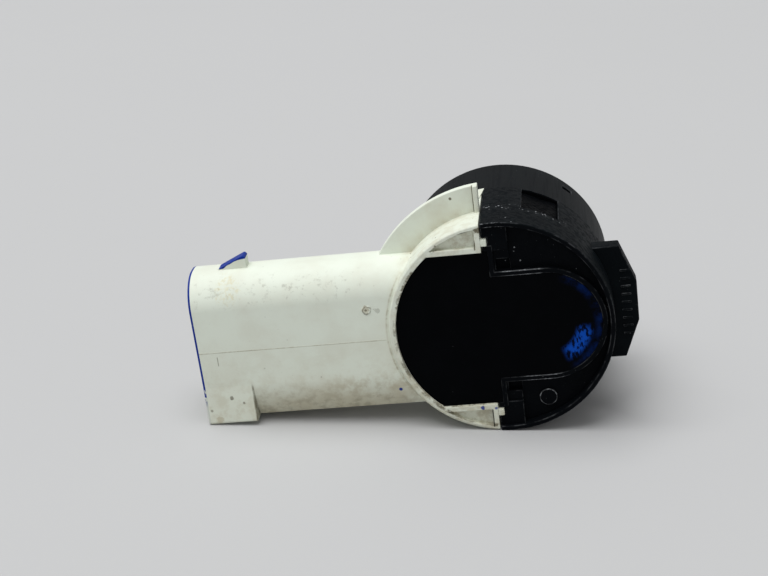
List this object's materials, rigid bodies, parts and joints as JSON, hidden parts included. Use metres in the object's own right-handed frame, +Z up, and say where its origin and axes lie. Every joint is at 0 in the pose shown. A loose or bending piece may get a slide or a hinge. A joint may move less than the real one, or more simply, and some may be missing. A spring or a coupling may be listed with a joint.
{
  "type": "parking sensor",
  "caption": "Ultrasonic parking sensor: round barrel with a vibrating membrane in front, a potted rear well, a side lug and a right-angle plug socket.",
  "frame": {"origin": "on the sensing axis, where the front barrel meets the shoulder", "axes": "+Y is the sensing direction, the connector's mouth faces -X, +Z is up as the sensor lies on its side"},
  "size_m": [0.05, 0.0223, 0.0279],
  "materials": {
    "pale_plastic": "pale moulded plastic, soiled by use",
    "dark_plastic": "dark moulded plastic with dust and scuffs",
    "sleeve_plastic": "dark moulded plastic, smooth",
    "cast_fill": "dark cast resin with blue ink",
    "pot_aluminium": "satin aluminium",
    "soft_silicone": "soft dark silicone",
    "ceramic": "fired ceramic",
    "felt": "grey felt",
    "sealant": "soft clear grey sealant",
    "carrier_plastic": "natural moulded plastic",
    "contact_metal": "tinned brass",
    "copper": "enamelled copper",
    "board": "green board",
    "chip_plastic": "dark moulded chip case",
    "ferrite": "sintered ferrite",
    "can_aluminium": "bright aluminium can"
  },
  "bodies": {
    "root": {"connector_housing": "pale_plastic", "main_housing": "dark_plastic", "front_sleeve": "sleeve_plastic", "potting_fill": "cast_fill", "membrane_pot": "pot_aluminium", "decoupling_ring": "soft_silicone", "piezo_disc": "ceramic", "damping_felt": "felt", "pot_sealant": "sealant", "contact_carrier": "carrier_plastic", "hot_contact": "contact_metal", "return_contact": "contact_metal", "hot_wire": "copper", "return_wire": "copper", "circuit_board": "board", "control_chip": "chip_plastic", "transformer_core": "ferrite", "transformer_bobbin": "carrier_plastic", "transformer_winding": "copper", "supply_capacitor": "can_aluminium", "filter_capacitors": "ceramic", "resistors": "chip_plastic", "protection_diode": "chip_plastic", "supply_terminal": "contact_metal", "signal_terminal": "contact_metal", "ground_terminal": "contact_metal"}
  },
  "joints": []
}
